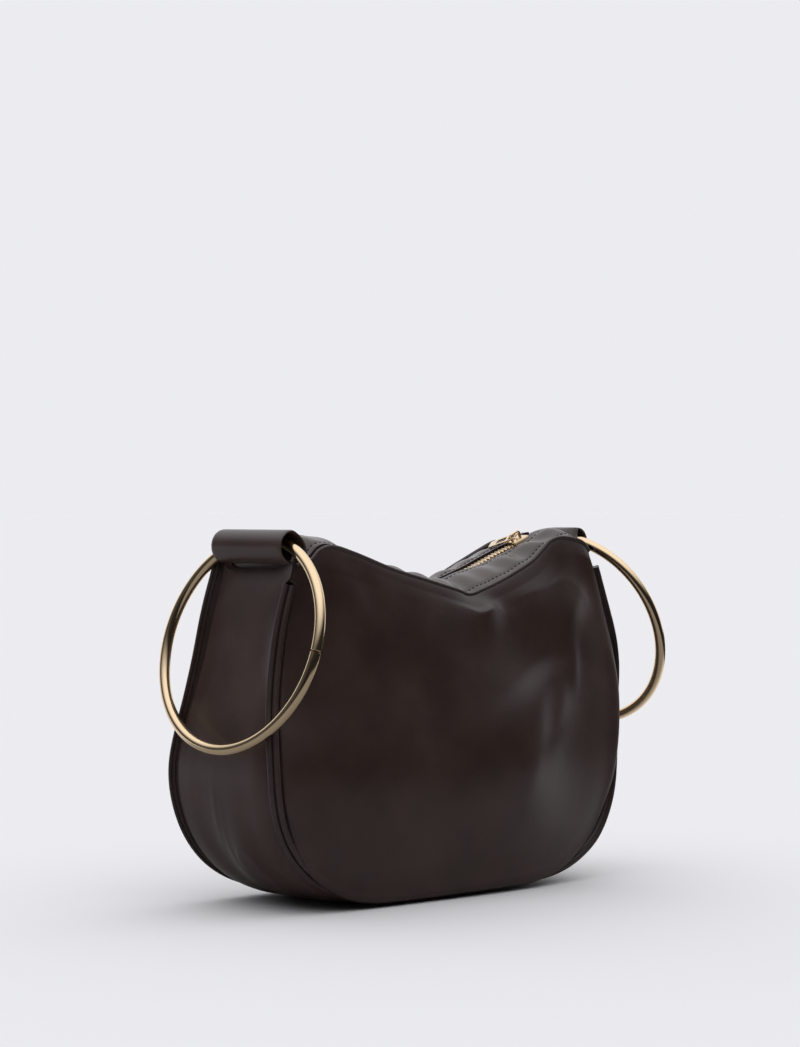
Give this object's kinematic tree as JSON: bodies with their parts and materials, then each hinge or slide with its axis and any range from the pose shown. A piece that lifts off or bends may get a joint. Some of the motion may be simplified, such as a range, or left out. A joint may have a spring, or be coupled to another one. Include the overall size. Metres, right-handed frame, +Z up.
{
  "type": "handbag",
  "caption": "Small soft leather handbag with a dipped zip top, welted seams and a large wire ring hung in a rolled leather tab at each end.",
  "frame": {"origin": "on the floor, under the middle of the box round the whole handbag with its rings", "axes": "+X along the bag from the left ring to the right ring, +Y from the front panel to the back panel, +Z up"},
  "size_m": [0.264, 0.1066, 0.1752],
  "materials": {
    "leather": "smooth satin, dark chocolate brown",
    "zip_cloth": "matt woven tape, dark brown",
    "gold_metal": "polished light gold"
  },
  "bodies": {
    "bag": {"front_panel": "leather", "back_panel": "leather", "gusset": "leather", "front_welt": "leather", "back_welt": "leather", "front_facing": "leather", "back_facing": "leather", "zip_tape": "zip_cloth", "zip_teeth": "gold_metal", "zip_slider": "gold_metal", "left_tab": "leather", "right_tab": "leather"},
    "left_handle": {"left_ring": "gold_metal"},
    "right_handle": {"right_ring": "gold_metal"},
    "pull": {"zip_pull": "gold_metal"}
  },
  "joints": [
    {"name": "left_ring_swing", "type": "hinge", "parent": "bag", "child": "left_handle", "pos_m": [-0.10179, 0.0031, 0.16716], "axis": [-0.061, 0.9981, 0], "range_deg": [0, 180]},
    {"name": "right_ring_swing", "type": "hinge", "parent": "bag", "child": "right_handle", "pos_m": [0.09327, 0.0031, 0.16716], "axis": [0.1736, -0.9848, 0], "range_deg": [0, 180]},
    {"name": "pull_swing", "type": "hinge", "parent": "bag", "child": "pull", "pos_m": [0.0675, 0.0031, 0.17082], "axis": [0.789, 0.5, 0.357], "range_deg": [0, 150]}
  ]
}
